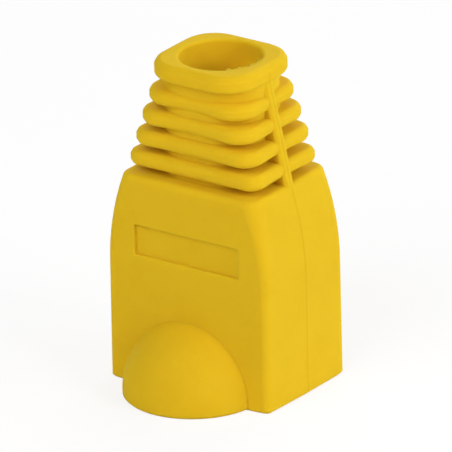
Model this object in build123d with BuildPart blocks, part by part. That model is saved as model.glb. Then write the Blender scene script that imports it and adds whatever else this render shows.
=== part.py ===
"""Slip-on strain relief boot for an eight-way modular plug, moulded in one piece of soft plastic.

The boot stands on its open mouth. X runs across its width, Y from the latch dome at the front
(-Y) to the back, and Z up along the cable. The origin is the middle of the mouth. Millimetres.
"""

import os
from math import radians, sqrt, tan

from build123d import *

# Plug that the boot slips over, and the room round it
plug_width = 11.7
plug_depth = 8.0
plug_reach = 9.0
plug_clearance = 0.1
pocket_corner = 0.3

# Walls of the body
side_wall = 1.05
face_wall = 0.68
roof_wall = 1.6

# Body, whose narrow sides bow inwards above a straight skirt
body_height = 15.75
skirt_height = 8.7
side_inset = 1.15
side_draft = 0.13
face_draft = 0.08
skirt_corner = 0.5
top_corner = 1.2
shoulder_radius = 0.4
mouth_bevel = 0.15
body_sections = 6

# Funnel from the plug pocket to the cable
funnel_width = 8.4
funnel_depth = 6.6
funnel_corner = 2.0

# Cable bore and the neck core round it
cable_bore = 6.0
core_side_wall = 1.1
core_face_wall = 0.4

# Ribs and the slots between them
rib_count = 4
rib_thickness = 1.12
slot_height = 0.5
collar_slot_height = 0.89
rib_edge_radius = 0.5
rib_side_waist = 0.3
low_rib_face_waist = 0.08
high_rib_face_waist = 1.0
low_rib_corner = 1.2
high_rib_corner = 1.95

# Taper of the neck from the body to the collar
neck_setback = 0.65
neck_head_width = 8.4
neck_head_depth = 9.45

# Fins that tie the ribs together in the parting plane
fin_thickness = 1.0
fin_proud = 0.1
fin_bevel = 0.22

# Collar round the cable entry
collar_height = 1.28
collar_width = 8.4
collar_depth = 8.0
collar_corner = 2.6
collar_top_radius = 0.6
collar_foot_radius = 0.35
rim_bevel = 0.12

# Latch dome on the front face
dome_radius = 5.16
dome_reach = 4.4
dome_rise = 0.42
dome_wall = 1.0

# Label recess in the front face
label_width = 9.0
label_height = 2.32
label_foot = 9.8
label_depth = 0.25
label_corner = 0.12

# Overlap that fuses one feature into the next
fuse = 0.5

# Sizes that follow from the ones above
pocket_width = plug_width + 2 * plug_clearance
pocket_depth = plug_depth + 2 * plug_clearance
body_width = pocket_width + 2 * side_wall
body_depth = pocket_depth + 2 * face_wall
core_width = cable_bore + 2 * core_side_wall
core_depth = cable_bore + 2 * core_face_wall
core_corner = cable_bore / 2
bow_height = body_height - skirt_height
bow_radius = (bow_height**2 + side_inset**2) / (2 * side_inset)
pitch = rib_thickness + slot_height
neck_foot = body_height + slot_height
collar_foot = neck_foot + rib_count * pitch - slot_height + collar_slot_height
boot_height = collar_foot + collar_height
neck_height = collar_foot - body_height
neck_foot_width = body_width - 2 * side_inset
neck_foot_depth = body_depth - 2 * face_draft - 2 * neck_setback
front = -body_depth / 2

# Two slopes, 30 and 60 degrees off a plate's side, that round its edge, as shares of the edge's radius
steep_rise = 1 - tan(radians(15))
steep_run = steep_rise * tan(radians(30))
shallow_leg = steep_rise - steep_run


def between(low, high, share):
    """Value a given share of the way from low to high."""
    return low + (high - low) * share


def body_width_at(z):
    """Width of the body over its parting line at height z."""
    bow = max(0.0, z - skirt_height)
    return body_width - 2 * (bow_radius - sqrt(bow_radius**2 - bow**2))


def body_face(z):
    """Section of the body at height z, whose sides have draft away from the parting line."""
    bow_share = max(0.0, z - skirt_height) / bow_height
    x = body_width_at(z) / 2
    corner_x = x - side_draft * (1 - 0.8 * bow_share)
    y = body_depth / 2 - face_draft * z / body_height
    corner = between(skirt_corner, top_corner, bow_share**2)
    with BuildSketch(Plane.XY.offset(z)) as face:
        with BuildLine():
            corners = [(corner_x, y), (-corner_x, y), (-x, 0), (-corner_x, -y), (corner_x, -y)]
            Polyline((x, 0), *corners, close=True)
        make_face()
        fillet(face.vertices().filter_by(lambda vertex: abs(vertex.Y) > y / 2), corner)
    return face.sketch


def neck_outline(z):
    """Width of the neck over its fins and depth over its rib corners at height z."""
    share = (z - body_height) / neck_height
    width = between(neck_foot_width, neck_head_width, share)
    depth = between(neck_foot_depth, neck_head_depth, share)
    return width, depth


def waisted_face(z, width, depth, side_waist, face_waist, corner):
    """Rounded rectangle at height z whose four sides bow inwards by the given waists."""
    x, y = width / 2, depth / 2
    with BuildSketch(Plane.XY.offset(z)) as face:
        with BuildLine():
            ThreePointArc((x, -y), (x - side_waist, 0), (x, y))
            ThreePointArc((x, y), (0, y - face_waist), (-x, y))
            ThreePointArc((-x, y), (-x + side_waist, 0), (-x, -y))
            ThreePointArc((-x, -y), (0, -y + face_waist), (x, -y))
        make_face()
        fillet(face.vertices(), corner)
    return face.sketch


def round_edge(plate, side, radius):
    """Rounds the edge of a plate's foot (side 0) or top (side -1) by a steep and a shallow slope."""
    flat = plate.faces().sort_by(Axis.Z)[side]
    chamfer(flat.edges(), steep_run * radius, steep_rise * radius, reference=flat)
    chamfer(plate.faces().sort_by(Axis.Z)[side].edges(), shallow_leg * radius)


def rib(number):
    """One rib of the neck, counted from the body up, with rounded edges."""
    foot = neck_foot + number * pitch
    width, depth = neck_outline(foot + rib_thickness / 2)
    share = number / max(1, rib_count - 1)
    face_waist = between(low_rib_face_waist, high_rib_face_waist, share)
    corner = between(low_rib_corner, high_rib_corner, share)
    corner_width = width - 2 * fin_proud + 2 * rib_side_waist
    with BuildPart() as plate:
        add(waisted_face(foot, corner_width, depth, rib_side_waist, face_waist, corner))
        extrude(amount=rib_thickness)
        for side in (0, -1):
            round_edge(plate, side, min(rib_edge_radius, rib_thickness / 2))
    return plate.part


# Body block
with BuildPart() as body:
    skirt = [body_face(0), body_face(skirt_height)]
    loft(skirt)
    heights = [between(skirt_height, body_height, n / (body_sections - 1)) for n in range(body_sections)]
    loft([body_face(height) for height in heights])
    fillet(body.faces().sort_by(Axis.Z)[-1].edges(), shoulder_radius)
    chamfer(body.faces().sort_by(Axis.Z)[0].edges(), mouth_bevel)

# Latch dome, a ball cut off at the mouth
dome_centre = (0, front + dome_radius - dome_reach, dome_rise)
with BuildPart() as dome:
    with Locations(dome_centre):
        Sphere(dome_radius)
    split(bisect_by=Plane.XY, keep=Keep.TOP)
    chamfer(dome.faces().sort_by(Axis.Z)[0].edges(), mouth_bevel)

# Collar round the cable entry
with BuildPart() as collar:
    with BuildSketch(Plane.XY.offset(collar_foot)):
        RectangleRounded(collar_width, collar_depth, collar_corner)
    extrude(amount=collar_height)
    round_edge(collar, -1, collar_top_radius)
    round_edge(collar, 0, collar_foot_radius)

ribs = [rib(number) for number in range(rib_count)]

# Fins in the parting plane, flush with the body's sides and a little proud of the ribs
fin_foot = body_height - shoulder_radius
with BuildPart() as fins:
    with BuildSketch(Plane.XZ):
        with BuildLine():
            fin_line = Polyline(
                (body_width_at(fin_foot) / 2 - fuse, fin_foot - fuse),
                (body_width_at(fin_foot) / 2, fin_foot),
                (neck_foot_width / 2, body_height),
                (neck_head_width / 2, collar_foot),
                (neck_head_width / 2 - fuse, collar_foot + fuse),
            )
            mirror(about=Plane.YZ)
            Line(fin_line @ 0, (-(fin_line @ 0).X, (fin_line @ 0).Y))
            Line(fin_line @ 1, (-(fin_line @ 1).X, (fin_line @ 1).Y))
        make_face()
    extrude(amount=fin_thickness / 2, both=True)
    chamfer(fins.edges().filter_by(lambda edge: edge.bounding_box().size.Z > neck_height / 2), fin_bevel)

# The whole moulding
with BuildPart() as boot:
    add(body.part)
    add(dome.part)
    add(collar.part)
    add(fins.part)
    add(ribs)

    # Neck core, thicker at the fins than at the faces
    with BuildSketch(Plane.XY.offset(body_height - fuse)):
        RectangleRounded(core_width, core_depth, core_corner)
    extrude(amount=neck_height + 2 * fuse)

    # Plug pocket, open at the mouth
    with BuildSketch():
        RectangleRounded(pocket_width, pocket_depth, pocket_corner)
    extrude(amount=plug_reach, mode=Mode.SUBTRACT)

    # Funnel above the pocket
    with BuildSketch(Plane.XY.offset(plug_reach)):
        RectangleRounded(pocket_width, pocket_depth, pocket_corner)
    with BuildSketch(Plane.XY.offset(body_height - roof_wall)):
        RectangleRounded(funnel_width, funnel_depth, funnel_corner)
    loft(mode=Mode.SUBTRACT)

    # Room for the plug's latch inside the dome
    with Locations(dome_centre):
        Sphere(dome_radius - dome_wall, mode=Mode.SUBTRACT)

    # Cable bore, with a bevelled rim
    with BuildSketch(Plane.XY.offset(plug_reach)):
        Circle(cable_bore / 2)
    extrude(amount=boot_height - plug_reach, mode=Mode.SUBTRACT)
    rim = boot.faces().sort_by(Axis.Z)[-1].inner_wires()[0]
    chamfer(rim.edges(), rim_bevel)

    # Label recess in the front face
    with BuildSketch(Plane.XZ.offset(-front)):
        with Locations((0, label_foot + label_height / 2)):
            RectangleRounded(label_width, label_height, label_corner)
    label_draft = face_draft * (label_foot + label_height / 2) / body_height
    extrude(amount=-(label_depth + label_draft), mode=Mode.SUBTRACT)

os.makedirs("parts", exist_ok=True)
boot.part.label = "boot"
export_step(boot.part, "parts/boot.step")
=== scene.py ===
"""Looks of a slip-on strain relief boot in soft yellow plastic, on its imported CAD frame.

The boot stands on its open mouth on a white floor, with the latch dome to the front. Blender
works in metres here, and sizes that end in _mm are millimetres.
"""

import logging
import math
from dataclasses import dataclass
from enum import Enum
from typing import Any, Dict, List, Optional, Tuple, Union

import bmesh
import bpy
from mathutils import Matrix, Vector


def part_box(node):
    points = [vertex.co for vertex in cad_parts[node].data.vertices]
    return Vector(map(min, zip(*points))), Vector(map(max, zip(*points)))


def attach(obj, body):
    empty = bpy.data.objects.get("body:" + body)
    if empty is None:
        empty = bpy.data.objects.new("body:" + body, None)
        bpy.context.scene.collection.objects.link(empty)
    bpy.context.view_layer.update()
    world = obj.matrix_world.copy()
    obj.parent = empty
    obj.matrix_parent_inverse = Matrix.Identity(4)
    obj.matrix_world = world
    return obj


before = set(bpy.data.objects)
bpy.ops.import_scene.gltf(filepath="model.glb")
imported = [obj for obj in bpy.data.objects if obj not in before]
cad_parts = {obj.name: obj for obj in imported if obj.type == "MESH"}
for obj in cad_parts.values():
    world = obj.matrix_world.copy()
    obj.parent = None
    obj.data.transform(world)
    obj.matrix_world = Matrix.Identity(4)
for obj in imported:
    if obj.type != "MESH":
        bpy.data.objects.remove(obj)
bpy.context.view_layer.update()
LOG = logging.getLogger("boot")
MM = 0.001
WHITE = (1.0, 1.0, 1.0)
OPAQUE = 1.0
NOISE_MEAN = 0.5
MIX_SHARE, MIX_BASE, MIX_OTHER, MIX_RESULT = 0, 6, 7, 2
Colour = Tuple[float, float, float]
Owner = Union[bpy.types.Material, bpy.types.World]


def toward(azimuth_deg: float, elevation_deg: float) -> Vector:
    """Direction from the boot, turned from the front (-Y) towards +X and raised from the floor.

    Args:
        azimuth_deg: Turn from the front.
        elevation_deg: Height over the floor.

    Returns:
        The unit vector.
    """
    azimuth, elevation = math.radians(azimuth_deg), math.radians(elevation_deg)
    level = math.cos(elevation)
    return Vector((math.sin(azimuth) * level, -math.cos(azimuth) * level, math.sin(elevation)))


def link(piece: bpy.types.Object) -> bpy.types.Object:
    """Puts an object into the scene and returns it."""
    bpy.context.scene.collection.objects.link(piece)
    return piece


def settle(shape: bmesh.types.BMesh, name: str, *materials: bpy.types.Material) -> bpy.types.Object:
    """Turns a finished shape into an object in the scene.

    Args:
        shape: The shape, which is freed.
        name: Name of the object and its mesh.
        materials: Its materials, in the order of its faces' indices.

    Returns:
        The object.
    """
    mesh = bpy.data.meshes.new(name)
    shape.to_mesh(mesh)
    shape.free()
    for material in materials:
        mesh.materials.append(material)
    return link(bpy.data.objects.new(name, mesh))


class Maths(Enum):
    """Operations of the Math node that the finishes use."""

    ADD = "ADD"
    SUBTRACT = "SUBTRACT"
    MULTIPLY = "MULTIPLY"
    ABSOLUTE = "ABSOLUTE"


class Ease(Enum):
    """How a value goes from one end of a range to the other."""

    STRAIGHT = "LINEAR"
    SMOOTH = "SMOOTHSTEP"


class End(Enum):
    """Node that a tree ends in."""

    MATERIAL = "ShaderNodeOutputMaterial"
    WORLD = "ShaderNodeOutputWorld"


@dataclass(frozen=True)
class Blotches:
    """One layer of smooth noise: how wide its blotches are and how finely they break up."""

    size_mm: float
    detail: float = 2.0
    roughness: float = 0.6


class Signal:
    """A value that varies over a surface, as the output socket of a node."""

    def __init__(self, bench: "Bench", socket: bpy.types.NodeSocket) -> None:
        """Wraps one output socket of a node on the bench."""
        self.bench = bench
        self.socket = socket

    def _maths(self, operation: Maths, *values: Any) -> "Signal":
        """Adds one Math node.

        Args:
            operation: What the node does.
            values: Its values from the top down, signals or numbers.

        Returns:
            The node's output.
        """
        inputs = dict(enumerate(values))
        return self.bench.node("ShaderNodeMath", {"operation": operation.value}, inputs)

    def __add__(self, other: Any) -> "Signal":
        """Sum with a signal or number."""
        return self._maths(Maths.ADD, self, other)

    def __radd__(self, other: Any) -> "Signal":
        """Sum, with the number first."""
        return self._maths(Maths.ADD, other, self)

    def __sub__(self, other: Any) -> "Signal":
        """Difference from a signal or number."""
        return self._maths(Maths.SUBTRACT, self, other)

    def __rsub__(self, other: Any) -> "Signal":
        """Difference, with the number first."""
        return self._maths(Maths.SUBTRACT, other, self)

    def __mul__(self, other: Any) -> "Signal":
        """Product with a signal or number."""
        return self._maths(Maths.MULTIPLY, self, other)

    def __rmul__(self, other: Any) -> "Signal":
        """Product, with the number first."""
        return self._maths(Maths.MULTIPLY, other, self)

    def __abs__(self) -> "Signal":
        """Size without its sign."""
        return self._maths(Maths.ABSOLUTE, self)

    def ease(
        self,
        low: float,
        high: float,
        first: float = 0.0,
        last: float = 1.0,
        way: Ease = Ease.SMOOTH,
    ) -> "Signal":
        """Goes from one value to another while the signal goes from low to high.

        Args:
            low: Signal at which the change starts.
            high: Signal at which it ends.
            first: Value up to the start.
            last: Value from the end on.
            way: Whether the change is straight or smooth.

        Returns:
            The changed value.
        """
        inputs = {"Value": self, "From Min": low, "From Max": high, "To Min": first, "To Max": last}
        return self.bench.node("ShaderNodeMapRange", {"interpolation_type": way.value}, inputs)


class Bench:
    """Node tree of a material or a world, to which nodes are added one at a time."""

    def __init__(self, owner: Owner) -> None:
        """Empties the tree of a material or a world."""
        owner.use_nodes = True
        self.owner = owner
        self.tree = owner.node_tree
        self.tree.nodes.clear()

    def node(
        self,
        kind: str,
        settings: Optional[Dict[str, Any]] = None,
        inputs: Optional[Dict[Union[int, str], Any]] = None,
        output: Union[int, str] = 0,
    ) -> Signal:
        """Adds one node, sets it up, and joins or sets its inputs.

        Args:
            kind: The node's type.
            settings: Its own properties, which are set first.
            inputs: Values or signals for its input sockets, by name or place.
            output: The output socket that is wanted.

        Returns:
            That output.
        """
        made = self.tree.nodes.new(kind)
        for key, value in (settings or {}).items():
            setattr(made, key, value)
        for key, value in (inputs or {}).items():
            socket = made.inputs[key]
            if isinstance(value, Signal):
                self.tree.links.new(value.socket, socket)
            elif isinstance(value, tuple) and len(value) < len(socket.default_value):
                socket.default_value = (*value, OPAQUE)
            else:
                socket.default_value = value
        return Signal(self, made.outputs[output] if len(made.outputs) else None)

    def outputs(self, first: Signal) -> List[Signal]:
        """All outputs of the node that a signal comes from."""
        return [Signal(self, socket) for socket in first.socket.node.outputs]

    def place(self) -> Signal:
        """Position in the boot's own frame, in metres."""
        return self.node("ShaderNodeTexCoord", output="Object")

    def noise(self, place: Signal, blotches: Blotches) -> Signal:
        """Smooth noise from 0 to 1.

        Args:
            place: Where it is read.
            blotches: Its layer.

        Returns:
            The noise.
        """
        inputs = {
            "Vector": place,
            "Scale": 1.0 / (blotches.size_mm * MM),
            "Detail": blotches.detail,
            "Roughness": blotches.roughness,
        }
        return self.node("ShaderNodeTexNoise", inputs=inputs)

    def tint(self, share: Signal, base: Any, other: Any) -> Signal:
        """Mixes two colours.

        Args:
            share: How much of the second colour shows.
            base: The first colour.
            other: The second colour.

        Returns:
            The mixed colour.
        """
        inputs = {MIX_SHARE: share, MIX_BASE: base, MIX_OTHER: other}
        return self.node("ShaderNodeMix", {"data_type": "RGBA"}, inputs, MIX_RESULT)

    def blend(self, share: Signal, first: Signal, second: Signal) -> Signal:
        """Mixes two shaders, of which the second shows by the share."""
        return self.node("ShaderNodeMixShader", inputs={0: share, 1: first, 2: second})

    def looked_at(self) -> Signal:
        """Tells rays that the camera sees by, straight or by mirror or glass, from the light's own.

        Returns:
            1 for the rays that the camera sees by and 0 for the others.
        """
        path = self.node("ShaderNodeLightPath").socket.node
        names = ("Is Camera Ray", "Is Glossy Ray", "Is Transmission Ray")
        camera, glossy, glass = (Signal(self, path.outputs[name]) for name in names)
        return (camera + glossy + glass).ease(0.0, 1.0, way=Ease.STRAIGHT)

    def finish(self, surface: Signal, end: End = End.MATERIAL) -> Owner:
        """Joins a shader to the tree's end.

        Args:
            surface: The shader.
            end: The node that the tree ends in.

        Returns:
            The finished material or world.
        """
        self.node(end.value, inputs={"Surface": surface})
        return self.owner


@dataclass(frozen=True)
class PartingLineWithPaintedShade:
    """Fine groove where the mould's halves met, along both narrow sides of the boot.

    The groove is a bump, and its shade is painted darker into the colour. A line shows only
    outside a plane on its side, which keeps it off the inner walls. From foot_mm to head_mm in
    height that plane leans in with the neck, from foot_out_mm to head_out_mm off the middle.
    """

    # Painted shade: the groove's darker colour, mixed in by share.
    colour: Colour = (0.620, 0.380, 0.008)
    share: float = 0.38
    half_mm: float = 0.125
    full_share: float = 0.3
    depth_mm: float = 0.010
    roughness: float = 0.1
    wander: Blotches = Blotches(6.0, roughness=0.5)
    wander_mm: float = 0.05
    foot_mm: float = 9.0
    foot_out_mm: float = 6.45
    head_mm: float = 24.4
    head_out_mm: float = 3.6
    side_fade_mm: float = 0.05
    top_fade_mm: Tuple[float, float] = (23.7, 24.0)

    def mask(self, bench: Bench, place: Signal) -> Signal:
        """Where the line runs.

        Args:
            bench: The material's nodes.
            place: Position in the boot's frame.

        Returns:
            1 in the line and 0 away from it.
        """
        x, y, z = bench.outputs(bench.node("ShaderNodeSeparateXYZ", inputs={0: place}))
        wander = (bench.noise(place, self.wander) - NOISE_MEAN) * (2 * self.wander_mm * MM)
        full, half = self.full_share * self.half_mm * MM, self.half_mm * MM
        near = abs(y + wander).ease(full, half, 1.0, 0.0)
        plane = z.ease(
            self.foot_mm * MM,
            self.head_mm * MM,
            self.foot_out_mm * MM,
            self.head_out_mm * MM,
            Ease.STRAIGHT,
        )
        outside = (abs(x) - plane).ease(0.0, self.side_fade_mm * MM)
        first, last = self.top_fade_mm
        return near * outside * z.ease(first * MM, last * MM, 1.0, 0.0)


@dataclass(frozen=True)
class SoftPlastic:
    """Soft moulded plastic with faint flow clouds, a fine matt grain and the parting line."""

    colour: Colour = (0.800, 0.523, 0.016)
    cloud_colour: Colour = (0.780, 0.504, 0.015)
    cloud: Blotches = Blotches(3.2, 3.0, 0.55)
    cloud_share: float = 0.7
    speckle: Blotches = Blotches(0.45)
    speckle_share: float = 0.3
    clouded_from: float = 0.42
    clouded_to: float = 0.68
    grain: Blotches = Blotches(0.16)
    grain_depth_mm: float = 0.0015
    # The parting line brings a bump and a painted shade of its groove into the colour.
    line: PartingLineWithPaintedShade = PartingLineWithPaintedShade()
    roughness: float = 0.58
    roughness_spread: float = 0.10
    edge_round_mm: float = 0.25
    edge_samples: int = 8
    sheen: float = 0.03
    milkiness: float = 0.6
    milk_depth_mm: float = 0.8
    milk_radius: Colour = (1.0, 0.95, 0.3)

    def material(self, name: str) -> bpy.types.Material:
        """Builds the finish.

        Args:
            name: The material's name.

        Returns:
            The material.
        """
        bench = Bench(bpy.data.materials.new(name))
        place = bench.place()
        cloud = bench.noise(place, self.cloud)
        speckle = bench.noise(place, self.speckle)
        grain = bench.noise(place, self.grain)
        line = self.line.mask(bench, place)
        mottle = cloud * self.cloud_share + speckle * self.speckle_share
        clouded = mottle.ease(self.clouded_from, self.clouded_to)
        plain = bench.tint(clouded, self.colour, self.cloud_colour)
        height = grain * self.grain_depth_mm - line * self.line.depth_mm
        rounded = bench.node(
            "ShaderNodeBevel", {"samples": self.edge_samples}, {"Radius": self.edge_round_mm * MM}
        )
        bumps = {"Strength": 1.0, "Distance": MM, "Height": height, "Normal": rounded}
        roughness = self.roughness + (cloud - NOISE_MEAN) * self.roughness_spread
        surface = {
            # Painted shade of the parting line's groove darkens the colour here.
            "Base Color": bench.tint(line * self.line.share, plain, self.line.colour),
            "Roughness": roughness + line * self.line.roughness,
            "Normal": bench.node("ShaderNodeBump", inputs=bumps),
            "Specular IOR Level": self.sheen,
            "Subsurface Weight": self.milkiness,
            "Subsurface Radius": self.milk_radius,
            "Subsurface Scale": self.milk_depth_mm * MM,
        }
        return bench.finish(bench.node("ShaderNodeBsdfPrincipled", inputs=surface))


@dataclass(frozen=True)
class StudioWhite:
    """Floor paint that looks white where it is lit, and keeps some of the boot's shadow."""

    colour: Colour = (0.90, 0.90, 0.90)
    fleck_colour: Colour = (0.89, 0.89, 0.88)
    fleck: Blotches = Blotches(20.0, roughness=0.5)
    flecked_from: float = 0.3
    flecked_to: float = 0.7
    lit_level: float = 0.79
    glow_share: float = 0.75

    def material(self, name: str) -> bpy.types.Material:
        """Builds the finish.

        Args:
            name: The material's name.

        Returns:
            The material.
        """
        bench = Bench(bpy.data.materials.new(name))
        flecked = bench.noise(bench.place(), self.fleck).ease(self.flecked_from, self.flecked_to)
        colour = bench.tint(flecked, self.colour, self.fleck_colour)
        paint = bench.node("ShaderNodeBsdfDiffuse", inputs={"Color": colour})
        strength = (1.0 - (1.0 - self.glow_share) * self.lit_level) / self.glow_share
        glow = bench.node("ShaderNodeEmission", inputs={"Color": WHITE, "Strength": strength})
        return bench.finish(bench.blend(bench.looked_at() * self.glow_share, paint, glow))


@dataclass
class Boot:
    """The moulded boot itself, whose shape comes from the CAD node."""

    node: str = "boot"
    finish: SoftPlastic = SoftPlastic()

    def dress(self) -> bpy.types.Object:
        """Gives the CAD node its finish.

        Returns:
            The node's object.
        """
        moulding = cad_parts[self.node]
        moulding.data.materials.clear()
        moulding.data.materials.append(self.finish.material("soft_yellow_plastic"))
        return moulding


@dataclass
class BoreFlash:
    """Thin torn skin of plastic on the right front edge of the bore, with a burr on its tear.

    The skin runs round the bore from start_deg to end_deg, 0 being +X. Its reach into the bore
    falls from first_reach_mm to last_reach_mm and is torn by ripples, each of which has a height,
    a number of radians along the run and a start. Below, the skin drops by edge_drop thicknesses
    at its edge and by root_drop at its root. The burr's sides are coloured darker than the skin:
    painted shade along the tear.
    """

    bore_mm: float = 3.0
    rim_bevel_mm: float = 0.12
    start_deg: float = -50.0
    end_deg: float = 28.0
    steps: int = 120
    first_reach_mm: float = 0.50
    last_reach_mm: float = 0.15
    first_rise: float = 12.0
    last_fall: float = 5.0
    ripples: Tuple[Tuple[float, float, float], ...] = (
        (0.30, 23.0, 0.0),
        (0.18, 57.0, 1.3),
        (0.10, 121.0, 0.4),
    )
    root_mm: float = 0.06
    thickness_mm: float = 0.05
    edge_drop: float = 0.5
    root_drop: float = 2.0
    burr_mm: float = 0.07
    full_burr_mm: float = 0.25
    burr_lean: float = 0.3
    burr_base: float = 0.6
    painted_shade_sides: Tuple[int, ...] = (1, 2)
    skin_finish: SoftPlastic = SoftPlastic(edge_round_mm=0.01)
    # Painted shade: the burr is coloured darker than the plastic, for the shade along the tear.
    burr_painted_shade_finish: SoftPlastic = SoftPlastic(
        (0.62, 0.37, 0.012), (0.56, 0.33, 0.011), edge_round_mm=0.01, milkiness=0.0
    )

    def reach(self, share: float) -> float:
        """How far the skin stands in at one point of its run.

        Args:
            share: Place along the run, from 0 to 1.

        Returns:
            Reach in millimetres.
        """
        waves = 1.0
        for height, turn, start in self.ripples:
            waves += height * math.sin(share * turn + start)
        ends = min(1.0, self.first_rise * share, self.last_fall * (1.0 - share))
        mean = self.first_reach_mm + (self.last_reach_mm - self.first_reach_mm) * share
        return waves * ends * mean

    def section(self, reach: float, top: float) -> Tuple[Tuple[float, float], ...]:
        """Cross-section of the skin at one point of its run.

        Args:
            reach: How far it stands in there.
            top: Height of its upper face.

        Returns:
            Distance from the bore's axis and height of each corner, in millimetres.
        """
        edge = self.bore_mm - reach
        root = self.bore_mm + self.root_mm
        burr = self.burr_mm * min(1.0, reach / self.full_burr_mm)
        return (
            (root, top),
            (edge, top),
            (edge - self.burr_lean * burr, top + burr),
            (edge - self.burr_base * burr, top - self.edge_drop * self.thickness_mm),
            (root, top - self.root_drop * self.thickness_mm),
        )

    def build(self) -> bpy.types.Object:
        """Makes the skin as a closed strip round part of the bore.

        Returns:
            The piece.
        """
        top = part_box("boot")[1][2] / MM - self.rim_bevel_mm
        shape = bmesh.new()
        rings = []
        for step in range(self.steps + 1):
            share = step / self.steps
            angle = math.radians(self.start_deg + (self.end_deg - self.start_deg) * share)
            along, across = math.cos(angle), math.sin(angle)
            corners = self.section(self.reach(share), top)
            spots = [(MM * r * along, MM * r * across, MM * z) for r, z in corners]
            rings.append([shape.verts.new(spot) for spot in spots])
        count = len(rings[0])
        for near, far in zip(rings, rings[1:]):
            for n in range(count):
                after = (n + 1) % count
                face = shape.faces.new((near[n], near[after], far[after], far[n]))
                # The burr's sides take the darker material, which is painted shade.
                face.material_index = 1 if n in self.painted_shade_sides else 0
        shape.faces.new(rings[0])
        shape.faces.new(reversed(rings[-1]))
        bmesh.ops.recalc_face_normals(shape, faces=shape.faces)
        # The second material is the burr's painted shade.
        skin, burr = self.skin_finish.material("thin_skin"), self.burr_painted_shade_finish.material("torn_edge_painted_shade")
        piece = settle(shape, "bore_flash", skin, burr)
        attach(piece, "root")
        return piece


@dataclass(frozen=True)
class SoftBox:
    """Square soft box that faces the boot from one side."""

    name: str
    azimuth_deg: float
    elevation_deg: float
    size: float
    power: float
    distance: float = 0.40

    def hang(self, aim: Vector) -> bpy.types.Object:
        """Hangs the box.

        Args:
            aim: The point that it faces.

        Returns:
            The lamp.
        """
        back = toward(self.azimuth_deg, self.elevation_deg)
        light = bpy.data.lights.new(f"soft_box_{self.name}", "AREA")
        light.shape = "SQUARE"
        light.size = self.size
        light.energy = self.power
        lamp = link(bpy.data.objects.new(light.name, light))
        lamp.location = aim + back * self.distance
        lamp.rotation_mode = "QUATERNION"
        lamp.rotation_quaternion = (-back).to_track_quat("-Z", "Y")
        return lamp


@dataclass
class Studio:
    """White floor, even surround, soft boxes and the camera. Sizes are in metres."""

    floor_half: float = 0.6
    floor_drop: float = 0.00001
    surround: float = 0.05
    backdrop: float = 1.0
    aim_height: float = 0.012
    boxes: Tuple[SoftBox, ...] = (
        SoftBox("right", 85.0, 25.0, 0.15, 0.64),
        SoftBox("right_back", 130.0, 25.0, 0.30, 0.54),
        SoftBox("front", 0.0, 40.0, 0.30, 0.93),
        SoftBox("left", -60.0, 30.0, 0.30, 0.06),
        SoftBox("back", 200.0, 40.0, 0.30, 0.56),
    )
    azimuth_deg: float = 35.5
    elevation_deg: float = 22.10
    roll_deg: float = 1.25
    aim_mm: Tuple[float, float, float] = (0.12, 0.03, 11.35)
    distance: float = 1.1957
    lens_mm: float = 1343.8
    near: float = 0.05
    far: float = 10.0

    def floor(self) -> bpy.types.Object:
        """Lays the floor just under the boot's rim.

        Returns:
            The floor.
        """
        shape = bmesh.new()
        half, low = self.floor_half, -self.floor_drop
        corners = ((-half, -half, low), (half, -half, low), (half, half, low), (-half, half, low))
        shape.faces.new([shape.verts.new(corner) for corner in corners])
        floor = settle(shape, "floor", StudioWhite().material("studio_white"))
        return floor

    def world(self) -> None:
        """Lights the scene evenly from all round, and shows white behind it."""
        bench = Bench(bpy.data.worlds.new("surround"))
        lights, shows = (
            bench.node("ShaderNodeBackground", inputs={"Color": WHITE, "Strength": strength})
            for strength in (self.surround, self.backdrop)
        )
        mixed = bench.blend(bench.looked_at(), lights, shows)
        bpy.context.scene.world = bench.finish(mixed, End.WORLD)

    def lamps(self) -> None:
        """Hangs the soft boxes round the boot, all turned to its middle."""
        for box in self.boxes:
            box.hang(Vector((0.0, 0.0, self.aim_height)))

    def camera(self) -> bpy.types.Object:
        """Sets the camera at the picture's angle, with a long lens.

        Returns:
            The camera.
        """
        back = toward(self.azimuth_deg, self.elevation_deg)
        side = toward(self.azimuth_deg + 90.0, 0.0)
        up = back.cross(side)
        roll = math.radians(self.roll_deg)
        right = math.cos(roll) * side - math.sin(roll) * up
        above = math.sin(roll) * side + math.cos(roll) * up
        lens = bpy.data.cameras.new("camera")
        lens.lens = self.lens_mm
        lens.clip_start = self.near
        lens.clip_end = self.far
        camera = link(bpy.data.objects.new("camera", lens))
        turn = Matrix((right, above, back)).transposed().to_4x4()
        spot = Vector(self.aim_mm) * MM + back * self.distance
        camera.matrix_world = Matrix.Translation(spot) @ turn
        bpy.context.scene.camera = camera
        return camera


def main() -> None:
    """Dresses the boot, adds its loose skin and sets up the studio."""
    logging.basicConfig(level=logging.INFO, format="%(name)s: %(message)s")
    studio = Studio()
    studio.camera()
    LOG.info("camera set")
    moulding = Boot().dress()
    LOG.info("%s dressed, %d faces", moulding.name, len(moulding.data.polygons))
    skin = BoreFlash().build()
    LOG.info("%s built, %d faces", skin.name, len(skin.data.polygons))
    studio.floor()
    studio.world()
    studio.lamps()
    bpy.context.scene.view_settings.view_transform = "Standard"
    LOG.info("floor, surround and soft boxes set")


if __name__ == "__main__":
    main()
